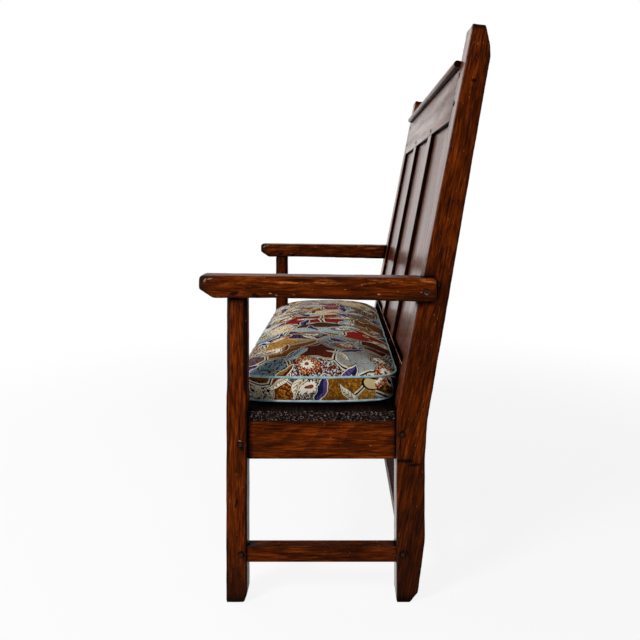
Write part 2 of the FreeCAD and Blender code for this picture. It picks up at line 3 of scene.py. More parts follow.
import bpy
import numpy as np
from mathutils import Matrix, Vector, noise
from mathutils.bvhtree import BVHTree

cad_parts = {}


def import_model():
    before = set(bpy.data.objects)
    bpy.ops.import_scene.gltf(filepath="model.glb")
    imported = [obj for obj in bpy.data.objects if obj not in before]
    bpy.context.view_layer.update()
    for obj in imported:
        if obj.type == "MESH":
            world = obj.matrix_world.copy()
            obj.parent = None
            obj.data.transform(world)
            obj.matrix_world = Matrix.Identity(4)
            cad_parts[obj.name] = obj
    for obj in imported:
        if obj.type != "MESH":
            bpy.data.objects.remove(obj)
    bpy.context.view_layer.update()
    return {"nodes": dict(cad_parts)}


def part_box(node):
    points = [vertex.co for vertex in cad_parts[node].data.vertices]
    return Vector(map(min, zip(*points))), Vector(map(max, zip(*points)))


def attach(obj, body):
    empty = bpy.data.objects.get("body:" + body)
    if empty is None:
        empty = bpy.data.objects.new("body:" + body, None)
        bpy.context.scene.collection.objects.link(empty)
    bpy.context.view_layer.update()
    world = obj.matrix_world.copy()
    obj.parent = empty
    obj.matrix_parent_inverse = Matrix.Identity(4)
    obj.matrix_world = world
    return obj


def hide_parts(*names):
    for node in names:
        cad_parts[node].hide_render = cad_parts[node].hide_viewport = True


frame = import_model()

nodes = frame["nodes"]
scene = bpy.context.scene

# The photograph's view

PHOTO_SIDE = 640
SENSOR = 36.0
PIXEL = 0.0022
CAMERA_DISTANCE = 1.4
EYE_PIXEL = (340, 204)
FRONT_POST_PIXEL = 226
FLOOR_PIXEL = 603

near_post_low, near_post_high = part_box("front_post_left")
outer_face = near_post_high.x
post_front = near_post_low.y


# Small helpers

def linear(code):
    """A colour written as six hexadecimal digits, as the renderer's linear values."""
    parts = [int(code[step:step + 2], 16) / 255 for step in (0, 2, 4)]
    straight = [part / 12.92 if part <= 0.04045 else ((part + 0.055) / 1.055) ** 2.4 for part in parts]
    return (*straight, 1.0)


def place(piece, body):
    """Put a new piece in the scene, on the body that carries it."""
    if piece.name not in scene.collection.objects:
        scene.collection.objects.link(piece)
    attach(piece, body)
    return piece


def mesh_piece(name, points, faces, smooth=True):
    mesh = bpy.data.meshes.new(name)
    mesh.from_pydata([tuple(point) for point in points], [], faces)
    mesh.update()
    mesh.polygons.foreach_set("use_smooth", [smooth] * len(mesh.polygons))
    return bpy.data.objects.new(name, mesh)


class Shade:
    """One material. Each call adds a node and gives back its output."""

    def __init__(self, name):
        self.material = bpy.data.materials.new(name)
        self.material.use_nodes = True
        self.tree = self.material.node_tree
        self.tree.nodes.clear()

    def node(self, kind, inputs=None, **settings):
        made = self.tree.nodes.new(kind)
        for key, value in settings.items():
            setattr(made, key, value)
        for key, value in (inputs or {}).items():
            if isinstance(value, bpy.types.NodeSocket):
                self.tree.links.new(value, made.inputs[key])
            else:
                made.inputs[key].default_value = value
        return made

    def coordinates(self):
        return self.node("ShaderNodeTexCoord").outputs["Object"]

    def mapped(self, vector, scale=(1, 1, 1), turn=(0, 0, 0), shift=(0, 0, 0)):
        inputs = {"Vector": vector, "Scale": scale, "Rotation": turn, "Location": shift}
        return self.node("ShaderNodeMapping", inputs).outputs[0]

    def noise(self, vector, scale, detail=4.0, rough=0.5, warp=0.0, output=0):
        inputs = {"Vector": vector, "Scale": scale, "Detail": detail, "Roughness": rough, "Distortion": warp}
        return self.node("ShaderNodeTexNoise", inputs).outputs[output]

    def maths(self, operation, first, second=0.0, third=0.0, clamp=False):
        made = self.node("ShaderNodeMath", {0: first, 1: second, 2: third}, operation=operation)
        made.use_clamp = clamp
        return made.outputs[0]

    def vector(self, operation, first, second=(0, 0, 0), output=0):
        return self.node("ShaderNodeVectorMath", {0: first, 1: second}, operation=operation).outputs[output]

    def ranged(self, value, low, high, start=0.0, end=1.0):
        """Map a value smoothly from low..high to start..end."""
        inputs = {"Value": value, 1: low, 2: high, 3: start, 4: end}
        return self.node("ShaderNodeMapRange", inputs, interpolation_type="SMOOTHSTEP").outputs[0]

    def ramp(self, value, stops, interpolation="LINEAR"):
        made = self.node("ShaderNodeValToRGB", {"Fac": value})
        made.color_ramp.interpolation = interpolation
        elements = made.color_ramp.elements
        while len(elements) < len(stops):
            elements.new(0.5)
        for element, (position, code) in zip(elements, stops):
            element.position = position
            element.color = linear(code)
        return made.outputs["Color"]

    def mix(self, amount, first, second, blend="MIX"):
        made = self.node("ShaderNodeMix", data_type="RGBA", blend_type=blend)
        for index, value in ((0, amount), (6, first), (7, second)):
            if isinstance(value, bpy.types.NodeSocket):
                self.tree.links.new(value, made.inputs[index])
            elif isinstance(value, str):
                made.inputs[index].default_value = linear(value)
            else:
                made.inputs[index].default_value = value
        return made.outputs[2]

    def bump(self, height, strength, distance, normal=None):
        inputs = {"Height": height, "Strength": strength, "Distance": distance}
        if normal is not None:
            inputs["Normal"] = normal
        return self.node("ShaderNodeBump", inputs).outputs[0]

    def surface(self, **inputs):
        """End with a Principled shader and give back the material."""
        named = {key.replace("_", " "): value for key, value in inputs.items()}
        shader = self.node("ShaderNodeBsdfPrincipled", named)
        self.node("ShaderNodeOutputMaterial", {"Surface": shader.outputs[0]})
        return self.material


# Camera

def camera():
    data = bpy.data.cameras.new("camera")
    data.sensor_width = SENSOR
    data.lens = SENSOR * CAMERA_DISTANCE / PIXEL / PHOTO_SIDE
    data.shift_x = (PHOTO_SIDE / 2 - EYE_PIXEL[0]) / PHOTO_SIDE
    data.shift_y = (EYE_PIXEL[1] - PHOTO_SIDE / 2) / PHOTO_SIDE
    data.clip_start = 0.05
    data.clip_end = 60
    item = bpy.data.objects.new("camera", data)
    across = post_front + (EYE_PIXEL[0] - FRONT_POST_PIXEL) * PIXEL
    height = (FLOOR_PIXEL - EYE_PIXEL[1]) * PIXEL
    item.location = (outer_face + CAMERA_DISTANCE, across, height)
    item.rotation_euler = (math.pi / 2, 0, math.pi / 2)
    scene.collection.objects.link(item)
    scene.camera = item


camera()


# Light and stage

def lamp(name, place_at, aim, size, watts):
    data = bpy.data.lights.new(name, "AREA")
    data.shape = "RECTANGLE"
    data.size, data.size_y = size
    data.energy = watts
    item = bpy.data.objects.new(name, data)
    item.location = place_at
    item.rotation_euler = (Vector(aim) - Vector(place_at)).to_track_quat("-Z", "Y").to_euler()
    scene.collection.objects.link(item)


lamp("key", (2.6, -2.4, 2.6), (0.2, 0, 0.6), (0.9, 0.9), 108)
lamp("fill", (2.4, 2.6, 1.6), (0.2, 0, 0.6), (2.0, 2.0), 3)
lamp("front", (-0.8, -3.0, 2.2), (0, 0, 0.6), (2.4, 2.0), 34)

WORLD_LIGHT = 0.25


def world():
    """Even light on the object, and a white backdrop for the camera and for reflections."""
    item = bpy.data.worlds.new("studio")
    item.use_nodes = True
    tree = item.node_tree
    tree.nodes.clear()
    path = tree.nodes.new("ShaderNodeLightPath")
    seen = tree.nodes.new("ShaderNodeMath")
    seen.operation = "MAXIMUM"
    clear = tree.nodes.new("ShaderNodeMath")
    clear.operation = "MAXIMUM"
    even = tree.nodes.new("ShaderNodeBackground")
    even.inputs["Strength"].default_value = WORLD_LIGHT
    white = tree.nodes.new("ShaderNodeBackground")
    white.inputs["Color"].default_value = (1, 1, 1, 1)
    both = tree.nodes.new("ShaderNodeMixShader")
    output = tree.nodes.new("ShaderNodeOutputWorld")
    tree.links.new(path.outputs["Is Camera Ray"], seen.inputs[0])
    tree.links.new(path.outputs["Is Glossy Ray"], seen.inputs[1])
    tree.links.new(seen.outputs[0], clear.inputs[0])
    tree.links.new(path.outputs["Is Transmission Ray"], clear.inputs[1])
    tree.links.new(clear.outputs[0], both.inputs[0])
    tree.links.new(even.outputs[0], both.inputs[1])
    tree.links.new(white.outputs[0], both.inputs[2])
    tree.links.new(both.outputs[0], output.inputs[0])
    scene.world = item


world()
scene.view_settings.view_transform = "Standard"


SHADOW_REACH = 1.0
WHITE_FROM = 2.6
NEAR_WHITE = 0.88
HORIZON = 30


def floor():
    """A pale floor that keeps the shadow and runs out to white."""
    shade = Shade("floor_pale")
    path = shade.node("ShaderNodeLightPath")
    matt = shade.node("ShaderNodeBsdfDiffuse", {"Color": (0.86, 0.86, 0.86, 1)})
    white = shade.node("ShaderNodeEmission", {"Color": (1, 1, 1, 1), "Strength": 1.0})
    away = shade.vector("LENGTH", shade.coordinates(), output=1)
    seen = shade.maths("MAXIMUM", path.outputs["Is Camera Ray"], path.outputs["Is Glossy Ray"])
    seen = shade.maths("MAXIMUM", seen, path.outputs["Is Transmission Ray"])
    share = shade.maths("MULTIPLY", seen, shade.ranged(away, SHADOW_REACH, WHITE_FROM, NEAR_WHITE, 1.0))
    both = shade.node("ShaderNodeMixShader", {0: share, 1: matt.outputs[0], 2: white.outputs[0]})
    shade.node("ShaderNodeOutputMaterial", {"Surface": both.outputs[0]})
    reach = HORIZON
    corners = [(-reach, -reach, 0), (reach, -reach, 0), (reach, reach, 0), (-reach, reach, 0)]
    item = mesh_piece("floor", corners, [(0, 1, 2, 3)], smooth=False)
    item.data.materials.append(shade.material)
    scene.collection.objects.link(item)


floor()


# Wood

RAKE = math.radians(11.08)
ALONG = {"x": (0, math.pi / 2, 0), "y": (math.pi / 2, 0, 0), "z": (0, 0, 0)}
VARNISH = 0.02
POLISH = 0.16
COAT = 0.5
RING_COUNT = 34
WORN_VOXEL = 0.003
UNEVENNESS = 0.0013
CENTRED = (0.5, 0.5, 0.5)
EDGE_SAMPLES = 6
SHADE_AND_GRIME_SAMPLES = 8
NOSE_FADE = 0.03


def stretched(shade, vector, ratio):
    return shade.mapped(vector, scale=(1, 1, ratio))


def marked(shade, marks):
    """Marks on the outer faces: each has a place, half its width and height, and a tilt, in metres."""
    parts = shade.coordinates()
    ragged = shade.noise(parts, 90, 3, 0.6)
    found = None
    for across, height, wide, tall, tilt in marks:
        moved = shade.vector("SUBTRACT", parts, (0, across, height))
        turned = shade.mapped(moved, turn=(tilt, 0, 0), scale=(0, 1, 1))
        sized = shade.vector("DIVIDE", turned, (1, wide, tall))
        away = shade.vector("LENGTH", sized, output=1)
        ragged_away = shade.maths("MULTIPLY_ADD", ragged, -1.1, shade.maths("ADD", away, 0.55))
        mark = shade.ranged(ragged_away, 1.0, 0.6)
        found = mark if found is None else shade.maths("MAXIMUM", found, mark)
    return found


def grain_of(shade, along):
    """The colour of the grain, and the fine height of its streaks, pores and growth rings."""
    drift = shade.noise(stretched(shade, along, 0.3), 14, 2, 0.5, output=1)
    drift = shade.vector("MULTIPLY", shade.vector("SUBTRACT", drift, CENTRED), (0.014, 0.014, 0.014))
    swayed = shade.vector("ADD", along, drift)
    streaks = shade.noise(stretched(shade, swayed, 0.07), 260, 5, 0.62)
    pores = shade.noise(stretched(shade, swayed, 0.05), 520, 2, 0.5)
    figure = shade.noise(stretched(shade, swayed, 0.22), 40, 4, 0.6, 0.5)
    level = shade.maths("MULTIPLY_ADD", streaks, 0.62, shade.maths("MULTIPLY", figure, 0.38))
    colour = shade.ramp(level, [
        (0.34, "290e02"), (0.43, "461803"), (0.50, "5f2404"), (0.57, "7a3106"), (0.67, "a04a12")])
    field = shade.noise(stretched(shade, swayed, 0.13), 7, 1.5, 0.4)
    ring = shade.ranged(shade.maths("FRACT", shade.maths("MULTIPLY", field, RING_COUNT)), 0.35, 0.95)
    colour = shade.mix(shade.maths("MULTIPLY", ring, 0.4), colour, "220c03")
    lines = shade.ranged(pores, 0.52, 0.64)
    colour = shade.mix(shade.maths("MULTIPLY", lines, 0.65), colour, "0f0401")
    relief = shade.maths("MULTIPLY_ADD", pores, -0.6, streaks)
    relief = shade.maths("MULTIPLY_ADD", ring, -0.25, relief)
    return colour, streaks, relief


def edge_wear_shade_and_highlight(shade, colour, along, pale_edge_and_highlight, scuffs):
    """Darken the wood beside its edges as painted shade, turn the edges pale as wear and painted highlight,
    and chip the varnish.
    """
    flat = shade.node("ShaderNodeNewGeometry").outputs["Normal"]
    # Painted shade: a soft dark band beside the rounded edges, where they turn away from the light.
    wide = shade.node("ShaderNodeBevel", {"Radius": 0.008}, samples=EDGE_SAMPLES).outputs[0]
    beside = shade.ranged(shade.vector("DOT_PRODUCT", wide, flat, output=1), 1.0, 0.93)
    patchy = shade.ranged(shade.noise(stretched(shade, along, 0.25), 60, 3, 0.6), 0.3, 0.6)
    shaded = shade.maths("MULTIPLY", shade.maths("MULTIPLY", beside, patchy), 0.8)
    colour = shade.mix(shaded, colour, "140703")
    # Pale edges: partly wear, partly painted highlight for the light line that a rounded varnished edge
    # catches.
    narrow = shade.node("ShaderNodeBevel", {"Radius": 0.003}, samples=EDGE_SAMPLES).outputs[0]
    facing = shade.vector("DOT_PRODUCT", narrow, flat, output=1)
    edge = shade.ranged(facing, 0.99, 0.88)
    worn_and_highlit = shade.ranged(shade.noise(stretched(shade, along, 0.2), 55, 4, 0.65), 0.44, 0.6)
    colour = shade.mix(shade.maths("MULTIPLY", shade.maths("MULTIPLY", edge, worn_and_highlit), 0.8), colour, pale_edge_and_highlight)
    chips = shade.ranged(shade.noise(stretched(shade, along, 0.4), 190, 2, 0.5), 0.69, 0.75)
    near_edge = shade.ranged(facing, 1.0, 0.95)
    bare = shade.maths("MULTIPLY", chips, shade.maths("MULTIPLY_ADD", near_edge, 0.8, scuffs))
    return shade.mix(bare, colour, "c08a66")


def polished(shade, along, clean_and_unshaded):
    """Where the varnish shines: on faces turned to the front, in broad streaks, and not in soiled corners or
    in the painted shade of corners.
    """
    normal = shade.node("ShaderNodeNewGeometry").outputs["Normal"]
    ahead = shade.node("ShaderNodeSeparateXYZ", {"Vector": normal}).outputs["Y"]
    front = shade.ranged(ahead, -0.5, -0.85)
    broad = shade.noise(stretched(shade, along, 0.06), 30, 4, 0.65)
    share = shade.maths("MULTIPLY", front, shade.ranged(broad, 0.36, 0.64, 0.55, 1.3))
    return shade.maths("MULTIPLY", share, clean_and_unshaded)


def side_shade(shade):
    """Painted shade on the sides and undersides of the back's members, the faces turned away from the light.
    """
    normal = shade.node("ShaderNodeNewGeometry").outputs["Normal"]
    parts = shade.node("ShaderNodeSeparateXYZ", {"Vector": normal}).outputs
    aside = shade.ranged(shade.maths("ABSOLUTE", parts["Y"]), 0.8, 0.5)
    return shade.maths("MULTIPLY", aside, shade.ranged(parts["Z"], 0.5, 0.2))


def oak(name, grain="z", seed=0, lean=0.0, tone_and_shade=1.0, shade_and_grime_reach=0.03, scuffs=0.3, pale_edge_and_highlight="8d5a3c", polish=False,
        shaded_sides=False, dull=False, lip_highlight=False, marks=(), pale_marks=(), dark_low=None,
        dark_high=None, dark_nose=0.0, shaded_chamfers=False, band=None):
    """Old varnished oak: grain streaks, soiling, painted shade in corners and on faces turned from the light,
    pale worn edges and painted highlights.
    """
    shade = Shade(name)
    here = shade.coordinates()
    place_of = shade.node("ShaderNodeSeparateXYZ", {"Vector": here}).outputs
    upright = shade.mapped(here, turn=(lean, 0, 0))
    along = shade.mapped(upright, turn=ALONG[grain], shift=(seed * 1.37, seed * 2.11, seed * 0.73))
    colour, streaks, relief = grain_of(shade, along)
    blotches = shade.ranged(shade.noise(stretched(shade, along, 0.3), 15, 5, 0.65), 0.48, 0.72)
    colour = shade.mix(shade.maths("MULTIPLY", blotches, 0.5), colour, "200b03")
    # Painted shade: the slanted chamfers of the posts are painted dark, as they turn away from the light.
    if shaded_chamfers:
        normal = shade.node("ShaderNodeNewGeometry").outputs["Normal"]
        parts = shade.node("ShaderNodeSeparateXYZ", {"Vector": normal}).outputs
        sideways = shade.maths("ABSOLUTE", parts["X"])
        lesser = shade.maths("MINIMUM", sideways, shade.maths("ABSOLUTE", parts["Y"]))
        colour = shade.mix(shade.ranged(lesser, 0.3, 0.6, 0, 0.9), colour, "1d0d0a")
    # Darker in corners, recesses and beside steps: old soiling, and painted shade where neighbouring parts
    # close the wood in.
    occlusion = shade.node("ShaderNodeAmbientOcclusion", {"Distance": shade_and_grime_reach}, samples=SHADE_AND_GRIME_SAMPLES)
    open_air = occlusion.outputs["AO"]
    grime_and_shade = shade.ranged(open_air, 0.95, 0.6)
    colour = shade.mix(shade.maths("MULTIPLY", grime_and_shade, 0.95), colour, "060201")
    # Painted shade: the back's sides and undersides go near black.
    if shaded_sides:
        colour = shade.mix(shade.maths("MULTIPLY", side_shade(shade), 0.85), colour, "0a0403")
    colour = edge_wear_shade_and_highlight(shade, colour, along, pale_edge_and_highlight, scuffs)
    # Painted highlight: a pale broken line along the top front edge, where a rounded varnished edge would
    # catch the light.
    if lip_highlight:
        normal = shade.node("ShaderNodeNewGeometry").outputs["Normal"]
        parts = shade.node("ShaderNodeSeparateXYZ", {"Vector": normal}).outputs
        lip = shade.maths("MINIMUM", shade.maths("MULTIPLY", parts["Y"], -1), parts["Z"])
        broken = shade.ranged(shade.noise(stretched(shade, along, 0.1), 40, 3, 0.6), 0.36, 0.5)
        colour = shade.mix(shade.maths("MULTIPLY", shade.ranged(lip, 0.2, 0.45), broken), colour, "cdb6aa")
    if band:
        middle, reach = band
        height = shade.maths("ABSOLUTE", shade.maths("SUBTRACT", place_of["Z"], middle))
        close = shade.ranged(height, reach, 0)
        rubs = shade.ranged(shade.noise(stretched(shade, along, 0.14), 120, 4, 0.68), 0.53, 0.66)
        colour = shade.mix(shade.maths("MULTIPLY", close, rubs), colour, "b5642c")
    # Darker towards the bottom; on the arm this is painted shade under its rounded lower edge.
    if dark_low:
        start, end = dark_low
        colour = shade.mix(shade.ranged(place_of["Z"], start, end, 0, 0.65), colour, "170b06")
    # Darker towards the top: on the front post this is the painted shadow under the arm; on the back post,
    # the dark end grain of its top.
    if dark_high:
        start, end = dark_high
        colour = shade.mix(shade.ranged(place_of["Z"], start, end, 0, 0.85), colour, "0f0604")
    if dark_nose:
        nose = shade.ranged(place_of["Y"], dark_nose, dark_nose - NOSE_FADE, 0, 0.75)
        colour = shade.mix(nose, colour, "170b08")
    # Darker overall: the back's own darker wood, and painted shade on the lower back rail and on the far arm
    # and far front post.
    if tone_and_shade != 1.0:
        colour = shade.mix(1.0, colour, (tone_and_shade, tone_and_shade, tone_and_shade, 1), "MULTIPLY")
    if marks:
        dark = marked(shade, marks)
        colour = shade.mix(shade.maths("MULTIPLY", dark, 0.88), colour, "0a0402")
        relief = shade.maths("MULTIPLY_ADD", dark, -1.2, relief)
    # Pale marks: real pale spots, and on the arm painted highlights too.
    if pale_marks:
        colour = shade.mix(shade.maths("MULTIPLY", marked(shade, pale_marks), 0.55), colour, "a58f85")

    rough = shade.maths("MULTIPLY_ADD", streaks, 0.3, 0.14)
    rough = shade.maths("MULTIPLY_ADD", blotches, 0.12, rough)
    normal = shade.bump(relief, 0.55, 0.0012)
    normal = shade.bump(shade.noise(stretched(shade, along, 0.4), 22, 3, 0.5), 0.5, 0.003, normal)
    finish = {"Specular_IOR_Level": 0.0 if dull else VARNISH}
    if polish:
        # Painted shade on the varnish: its shine fades out in corners and recesses, so that joint lines read
        # dark, and where soiling gathers.
        clean_and_unshaded = shade.ranged(open_air, 0.6, 0.9)
        share = polished(shade, along, clean_and_unshaded)
        least = shade.maths("MULTIPLY", clean_and_unshaded, VARNISH)
        finish["Specular_IOR_Level"] = shade.maths("MULTIPLY_ADD", share, POLISH, least)
        finish["Coat_Weight"] = shade.maths("MULTIPLY", share, COAT)
        finish["Coat_Roughness"] = 0.2
        finish["Coat_Tint"] = (1.0, 0.9, 0.86, 1)
    return shade.surface(Base_Color=colour, Roughness=rough, Normal=normal, **finish)


def rough_boards(name, seed):
    """Unvarnished board tops, and sawn ends grey with dust."""
    shade = Shade(name)
    along = shade.mapped(shade.coordinates(), turn=ALONG["x"], shift=(seed, seed * 2.3, 0))
    streaks = shade.noise(stretched(shade, along, 0.06), 190, 5, 0.62)
    colour = shade.ramp(streaks, [(0.32, "0a0604"), (0.5, "1c110b"), (0.62, "2f1e12"), (0.75, "49301d")])
    normal = shade.node("ShaderNodeNewGeometry").outputs["Normal"]
    sides = shade.node("ShaderNodeSeparateXYZ", {"Vector": normal})
    end = shade.ranged(shade.maths("ABSOLUTE", sides.outputs["X"]), 0.6, 0.85)
    crumbs = shade.noise(stretched(shade, shade.coordinates(), 1.6), 210, 5, 0.75)
    sawn = shade.ramp(crumbs, [(0.42, "050303"), (0.5, "1b1210"), (0.57, "463632"), (0.66, "b3a49d")])
    colour = shade.mix(end, colour, sawn)
    # Painted shade: the board tops go black where the cushion and the neighbouring boards close them in.
    open_air = shade.node("ShaderNodeAmbientOcclusion", {"Distance": 0.07}, samples=6).outputs["AO"]
    colour = shade.mix(shade.ranged(open_air, 0.97, 0.66), colour, "010000")
    height = shade.mix(end, streaks, crumbs)
    bumped = shade.bump(height, 1.0, 0.003)
    return shade.surface(Base_Color=colour, Roughness=0.7, Normal=bumped, Specular_IOR_Level=0.02)


def peg_wood(name):
    shade = Shade(name)
    here = shade.coordinates()
    crumbs = shade.noise(here, 420, 4, 0.7)
    colour = shade.ramp(crumbs, [(0.35, "0b0503"), (0.55, "29140b"), (0.7, "5c3a28")])
    bumped = shade.bump(crumbs, 0.7, 0.001)
    return shade.surface(Base_Color=colour, Roughness=0.5, Normal=bumped, Specular_IOR_Level=0.1)


POST_MARKS = [
    (0.1291, 0.3784, 0.0022, 0.0140, 0.54),
    (0.1207, 0.3500, 0.0024, 0.0180, 0.06),
    (0.1330, 0.3120, 0.0300, 0.0060, 0.03),
    (0.1540, 0.3040, 0.0150, 0.0050, -0.08),
    (0.1270, 0.1060, 0.0045, 0.0130, 0.2),
    (0.1360, 0.1120, 0.0025, 0.0100, -0.3),
    (0.2831, 1.1500, 0.0070, 0.0050, 0.1),
    (0.1790, 0.0250, 0.0130, 0.0100, 0.4),
]
FRONT_MARKS = [
    (-0.2270, 0.3400, 0.0050, 0.0070, 0.3),
    (-0.2400, 0.2190, 0.0030, 0.0120, 0.3),
    (-0.2275, 0.1060, 0.0050, 0.0090, -0.2),
]
FRONT_PALE = [(-0.2322, 0.3560, 0.0040, 0.0022, 0.4)]
ARM_MARKS = [
    (-0.1950, 0.6780, 0.0120, 0.0060, 0.3),
    (-0.2420, 0.6830, 0.0140, 0.0050, -0.2),
    (-0.1400, 0.6690, 0.0180, 0.0040, 0.1),
]
# Pale marks on the arm: the two on its nose are painted highlights on the rounded end; the third is the grey
# peg head at the lap, partly its own colour, partly painted highlight.
ARM_PALE = [
    (-0.3060, 0.7120, 0.0070, 0.0026, -0.9),
    (-0.2960, 0.7150, 0.0080, 0.0016, -0.2),
    (0.1770, 0.6857, 0.0062, 0.0066, 0.0),
]

WOOD_OF = {
    # On the front post, dark_high paints the shadow under the arm.
    "front_post": {"grain": "z", "marks": FRONT_MARKS, "pale_marks": FRONT_PALE, "dark_low": (0.14, 0.02),
                   "dark_high": (0.600, 0.730), "pale_edge_and_highlight": "84481f", "shaded_chamfers": True},
    "back_post": {"grain": "z", "lean": RAKE, "tone_and_shade": 0.85, "marks": POST_MARKS, "dark_low": (0.42, 0.02),
                  "pale_edge_and_highlight": "84481f", "dark_high": (1.258, 1.270), "polish": True},
    "muntin": {"grain": "z", "lean": RAKE, "shaded_sides": True, "tone_and_shade": 0.6, "shade_and_grime_reach": 0.010, "polish": True},
    "back_panel": {"grain": "z", "lean": RAKE, "shaded_sides": True, "tone_and_shade": 0.75, "shade_and_grime_reach": 0.010,
                   "polish": True},
    "top_rail": {"grain": "x", "shaded_sides": True, "tone_and_shade": 0.8, "shade_and_grime_reach": 0.008, "polish": True},
    "top_moulding": {"grain": "x", "shaded_sides": True, "tone_and_shade": 0.8, "shade_and_grime_reach": 0.008, "polish": True},
    # The lower back rail is painted dark and dull as the shade behind the cushion, with a painted highlight
    # on its top front edge.
    "lower_back_rail": {"grain": "x", "tone_and_shade": 0.6, "shade_and_grime_reach": 0.06, "dull": True, "lip_highlight": True},
    # On the arm, dark_low paints the shade under its rounded lower edge.
    "arm": {"grain": "y", "dark_low": (0.688, 0.666), "scuffs": 0.8, "pale_edge_and_highlight": "b08a78", "marks": ARM_MARKS,
            "pale_marks": ARM_PALE, "dark_nose": -0.286, "band": (0.708, 0.010)},
    "side_seat_rail": {"grain": "y"},
    "side_stretcher": {"grain": "y", "tone_and_shade": 0.9},
}


def worn(item, smoothing):
    """Round and waver the edges of a hand-worked piece."""
    weld = item.modifiers.new("weld", "WELD")
    weld.merge_threshold = 0.00002
    remesh = item.modifiers.new("remesh", "REMESH")
    remesh.mode = "VOXEL"
    remesh.voxel_size = WORN_VOXEL
    remesh.use_smooth_shade = True
    smooth = item.modifiers.new("smooth", "SMOOTH")
    smooth.factor = 0.5
    smooth.iterations = smoothing
    clouds = bpy.data.textures.new(f"{item.name}_hollows", "CLOUDS")
    clouds.noise_scale = 0.045
    clouds.noise_depth = 1
    dents = item.modifiers.new("dents", "DISPLACE")
    dents.texture = clouds
    dents.texture_coords = "LOCAL"
    dents.strength = UNEVENNESS
    dents.mid_level = 0.5


def eased(item, width):
    """Take the sharpness off the edges of a planed piece."""
    weld = item.modifiers.new("weld", "WELD")
    weld.merge_threshold = 0.00002
    bevel = item.modifiers.new("eased", "BEVEL")
    bevel.width = width
    bevel.segments = 3
    bevel.limit_method = "ANGLE"
    bevel.angle_limit = math.radians(35)


def wood():
    pegs = peg_wood("peg_dark")
    for seed, (name, item) in enumerate(sorted(nodes.items())):
        if name == "seat_cushion":
            continue
        item.data.materials.clear()
        if name.endswith("_pegs"):
            item.data.materials.append(pegs)
            continue
        if name.startswith("seat_b"):
            item.data.materials.append(rough_boards(f"boards_{name}", seed))
            eased(item, 0.0015)
            continue
        key = next((kind for kind in WOOD_OF if name.startswith(kind)), None)
        settings = WOOD_OF[key] if key else {"grain": "x"}
        # The far arm and far front post get a darker copy of their wood: painted shade on the far end.
        if name in ("arm_right", "front_post_right"):
            settings = {**settings, "tone_and_shade": 0.72}
        item.data.materials.append(oak(f"oak_{name}", seed=seed, **settings))
        if name.startswith(("front_post", "back_post", "arm_")):
            worn(item, 7 if name.startswith("arm_") else 2)
        else:
            eased(item, 0.005 if name == "lower_back_rail" else 0.002)


wood()


DUST_STEPS = 180
DUST_SUNK = 0.0015


def joint_dust():
    """Dirt packed in the joints between the seat boards."""
    shade = Shade("joint_dust")
    crumbs = shade.noise(shade.coordinates(), 300, 4, 0.7)
    colour = shade.ramp(crumbs, [(0.4, "040303"), (0.7, "1d1512")])
    dust = shade.surface(Base_Color=colour, Roughness=0.9, Specular_IOR_Level=0.05)
    boards = ("seat_board_front", "seat_board_middle", "seat_board_rear")
    for number, (before, after) in enumerate(zip(boards, boards[1:])):
        low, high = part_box(before)
        start, end = high.y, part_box(after)[0].y
        half = high.x - 0.002
        top = high.z - DUST_SUNK
        count = DUST_STEPS
        points, faces = [], []
        for step in range(count + 1):
            x = -half + 2 * half * step / count
            drop = 0.001 * noise.noise(Vector((x * 40, number, 0)))
            for y in (start, end):
                points.append((x, y, low.z + 0.001))
                points.append((x, y, top + drop))
        for step in range(count):
            a, b = 4 * step, 4 * step + 4
            faces += [(a, b, b + 1, a + 1), (a + 3, b + 3, b + 2, a + 2)]
            faces += [(a + 1, b + 1, b + 3, a + 3), (a + 2, b + 2, b, a)]
        faces += [(0, 1, 3, 2), (4 * count + 2, 4 * count + 3, 4 * count + 1, 4 * count)]
        strip = mesh_piece(f"joint_dust_{number + 1}", points, faces, smooth=False)
        strip.data.materials.append(dust)
        place(strip, "frame")


joint_dust()


# Cushion

seat_low, seat_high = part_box("seat_cushion")
CUSHION_HALF = 0.488
CUSHION_FRONT = -0.2485
CUSHION_BACK = 0.1125
CORNER = 0.042
END_BOW = 0.018
LOWER_SEAM = 0.4255
UPPER_SEAM = 0.480
LEAN_BACK = math.tan(RAKE)
MIDDLE = (CUSHION_FRONT + CUSHION_BACK) / 2
HALF_DEPTH = (CUSHION_BACK - CUSHION_FRONT) / 2
PIPING = 0.0027
PUFF = 0.026
PUCKER = 0.0022
PUCKER_REACH = 0.012
CROWN_TO_FILL = 0.013
CUSHION_VOXEL = 0.007
FILLING_FRAMES = 20
FILLING_PRESSURE = 4
ROUGH_POINTS = 260
PIPING_POINTS = 520
CLOTH_POINTS = 1400


def cushion_plan(count):
    """Evenly spaced points round the cushion's plan, and their distance before its ends are bowed."""
    across, along = CUSHION_HALF - CORNER, HALF_DEPTH - CORNER
    turn = np.radians(np.linspace(0, 90, 13))
    arcs = []
    for quarter, (side, end) in enumerate(((1, 1), (-1, 1), (-1, -1), (1, -1))):
        angle = turn + quarter * math.pi / 2
        sideways = side * across + CORNER * np.cos(angle)
        lengthways = end * along + CORNER * np.sin(angle)
        arcs.append(np.stack([sideways, lengthways], 1))
    corners = np.concatenate(arcs + [arcs[0][:1]])
    gone = np.concatenate([[0], np.cumsum(np.linalg.norm(np.diff(corners, axis=0), axis=1))])
    wanted = np.linspace(0, gone[-1], count, endpoint=False)
    plan = np.stack([np.interp(wanted, gone, corners[:, axis]) for axis in (0, 1)], 1)
    plan[:, 0] += np.sign(plan[:, 0]) * END_BOW * (1 - (plan[:, 1] / HALF_DEPTH) ** 2)
    plan[:, 1] += MIDDLE
    return plan, gone[-1] / count


